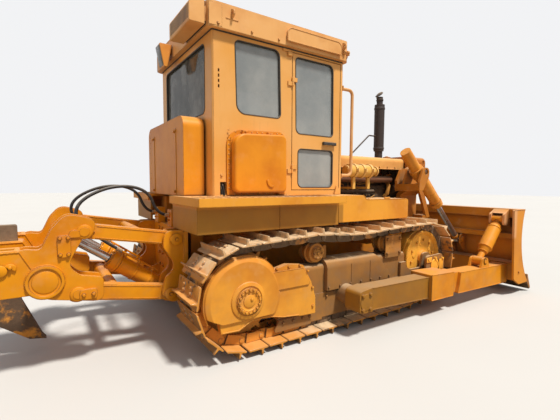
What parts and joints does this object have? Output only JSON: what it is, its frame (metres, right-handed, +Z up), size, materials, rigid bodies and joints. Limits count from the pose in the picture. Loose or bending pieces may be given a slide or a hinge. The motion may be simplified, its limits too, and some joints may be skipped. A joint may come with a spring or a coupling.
{
  "type": "crawler bulldozer with cab and ripper",
  "caption": "Crawler bulldozer: tracked tractor with closed cab, straight blade on push arms with lift cylinders, and a parallelogram ripper behind",
  "frame": {"origin": "middle of the overall length and width, on the ground under the tracks", "axes": "+X forward towards the blade, +Y to the machine's left, +Z up"},
  "size_m": [6.535, 3.36, 3.2],
  "materials": {
    "yellow_paint": "worn yellow machine paint",
    "engine_iron": "oily dark cast iron",
    "exhaust_steel": "sooty rusted steel",
    "glass": "grey-blue cab glass",
    "lamp_metal": "painted lamp bodies",
    "seat_vinyl": "black vinyl",
    "control_plastic": "black console",
    "track_steel": "dusty worn track steel",
    "rubber_hose": "black hydraulic hose",
    "chrome_rod": "hard chromed rod"
  },
  "bodies": {
    "root": {"main_frame": "yellow_paint", "belly_guard": "yellow_paint", "equalizer_bar": "yellow_paint", "engine": "engine_iron", "exhaust_manifold": "engine_iron", "exhaust_stack": "exhaust_steel", "side_canister": "yellow_paint", "hood": "yellow_paint", "radiator_guard": "yellow_paint", "radiator_grille": "engine_iron", "fender_right": "yellow_paint", "fender_left": "yellow_paint", "fuel_tank": "yellow_paint", "cab_shell": "yellow_paint", "cab_glass": "glass", "cab_roof": "yellow_paint", "side_boxes": "yellow_paint", "grab_rails": "yellow_paint", "work_lamps": "lamp_metal", "seat": "seat_vinyl", "controls": "control_plastic", "ripper_bracket": "yellow_paint", "ripper_hose_right": "rubber_hose", "ripper_hose_left": "rubber_hose", "track_right": "track_steel", "track_left": "track_steel", "sprocket_right": "track_steel", "sprocket_left": "track_steel", "sprocket_guard_right": "yellow_paint", "sprocket_guard_left": "yellow_paint", "roller_frame_right": "yellow_paint", "roller_frame_left": "yellow_paint", "rollers_right": "track_steel", "rollers_left": "track_steel", "idler_right": "yellow_paint", "idler_left": "yellow_paint"},
    "blade_body": {"blade": "yellow_paint", "cutting_edge": "track_steel", "push_arm_right": "yellow_paint", "push_arm_left": "yellow_paint", "tilt_braces": "yellow_paint"},
    "lift_barrel_right": {"lift_barrel_right": "yellow_paint"},
    "lift_barrel_left": {"lift_barrel_left": "yellow_paint"},
    "lift_rod_right": {"lift_rod_right": "chrome_rod"},
    "lift_rod_left": {"lift_rod_left": "chrome_rod"},
    "ripper_lower_link": {"ripper_lower_link": "yellow_paint"},
    "ripper_upper_link": {"ripper_upper_link": "yellow_paint"},
    "ripper_beam": {"ripper_beam": "yellow_paint", "ripper_shank": "track_steel"},
    "ripper_barrel_right": {"ripper_barrel_right": "yellow_paint"},
    "ripper_barrel_left": {"ripper_barrel_left": "yellow_paint"},
    "ripper_rod_right": {"ripper_rod_right": "chrome_rod"},
    "ripper_rod_left": {"ripper_rod_left": "chrome_rod"},
    "door_right": {"door_right": "yellow_paint", "door_glass_right": "glass"},
    "door_left": {"door_left": "yellow_paint", "door_glass_left": "glass"}
  },
  "joints": [
    {"name": "blade_lift", "type": "hinge", "parent": "root", "child": "blade_body", "pos_m": [-0.0125, 0, 0.375], "axis": [0, -1, 0], "range_deg": [-8, 17]},
    {"name": "ripper_lift", "type": "hinge", "parent": "root", "child": "ripper_lower_link", "pos_m": [-1.7625, 0, 0.525], "axis": [0, 1, 0], "range_deg": [-40, 14]},
    {"name": "ripper_upper_pivot", "type": "hinge", "parent": "root", "child": "ripper_upper_link", "pos_m": [-1.7025, 0, 1.035], "axis": [0, 1, 0], "range_deg": [-41, 15]},
    {"name": "ripper_beam_pivot", "type": "hinge", "parent": "ripper_lower_link", "child": "ripper_beam", "pos_m": [-2.5225, 0, 0.65], "axis": [0, 1, 0], "range_deg": [-15, 41]},
    {"name": "lift_trunnion_right", "type": "hinge", "parent": "root", "child": "lift_barrel_right", "pos_m": [1.7175, -0.79, 1.74], "axis": [0, -1, 0], "range_deg": [-11.67, 24.24]},
    {"name": "lift_stroke_right", "type": "slide", "parent": "lift_barrel_right", "child": "lift_rod_right", "axis": [0.7219, 0, -0.692], "range_m": [-0.6207, 0.2942]},
    {"name": "ripper_barrel_pivot_right", "type": "hinge", "parent": "root", "child": "ripper_barrel_right", "pos_m": [-1.7625, -0.345, 0.525], "axis": [0, 1, 0], "range_deg": [-30.17, 10.88], "deforming": ["ripper_hose_right"]},
    {"name": "ripper_stroke_right", "type": "slide", "parent": "ripper_barrel_right", "child": "ripper_rod_right", "axis": [-0.8192, 0, 0.5735], "range_m": [-0.2652, 0.0954]},
    {"name": "door_hinge_right", "type": "hinge", "parent": "root", "child": "door_right", "pos_m": [-0.496, -0.812, 2.2], "axis": [0, 0, -1], "range_deg": [0, 95]},
    {"name": "lift_trunnion_left", "type": "hinge", "parent": "root", "child": "lift_barrel_left", "pos_m": [1.7175, 0.79, 1.74], "axis": [0, -1, 0], "range_deg": [-11.67, 24.24]},
    {"name": "lift_stroke_left", "type": "slide", "parent": "lift_barrel_left", "child": "lift_rod_left", "axis": [0.7219, 0, -0.692], "range_m": [-0.6207, 0.2942]},
    {"name": "ripper_barrel_pivot_left", "type": "hinge", "parent": "root", "child": "ripper_barrel_left", "pos_m": [-1.7625, 0.345, 0.525], "axis": [0, 1, 0], "range_deg": [-30.17, 10.88], "deforming": ["ripper_hose_left"]},
    {"name": "ripper_stroke_left", "type": "slide", "parent": "ripper_barrel_left", "child": "ripper_rod_left", "axis": [-0.8192, 0, 0.5735], "range_m": [-0.2652, 0.0954]},
    {"name": "door_hinge_left", "type": "hinge", "parent": "root", "child": "door_left", "pos_m": [-0.496, 0.812, 2.2], "axis": [0, 0, 1], "range_deg": [0, 95]}
  ],
  "couplings": [
    {"joint": "ripper_upper_pivot", "follows": "ripper_lift", "ratio": 1},
    {"joint": "ripper_beam_pivot", "follows": "ripper_lift", "ratio": -1},
    {"joint": "lift_trunnion_right", "follows": "blade_lift", "ratio": 1.3963},
    {"joint": "lift_stroke_right", "follows": "blade_lift", "m_per_rad": -2.0785},
    {"joint": "ripper_barrel_pivot_right", "follows": "ripper_lift", "ratio": 0.7417},
    {"joint": "ripper_stroke_right", "follows": "ripper_lift", "m_per_rad": 0.3742},
    {"joint": "lift_trunnion_left", "follows": "blade_lift", "ratio": 1.3963},
    {"joint": "lift_stroke_left", "follows": "blade_lift", "m_per_rad": -2.0785},
    {"joint": "ripper_barrel_pivot_left", "follows": "ripper_lift", "ratio": 0.7417},
    {"joint": "ripper_stroke_left", "follows": "ripper_lift", "m_per_rad": 0.3742}
  ]
}
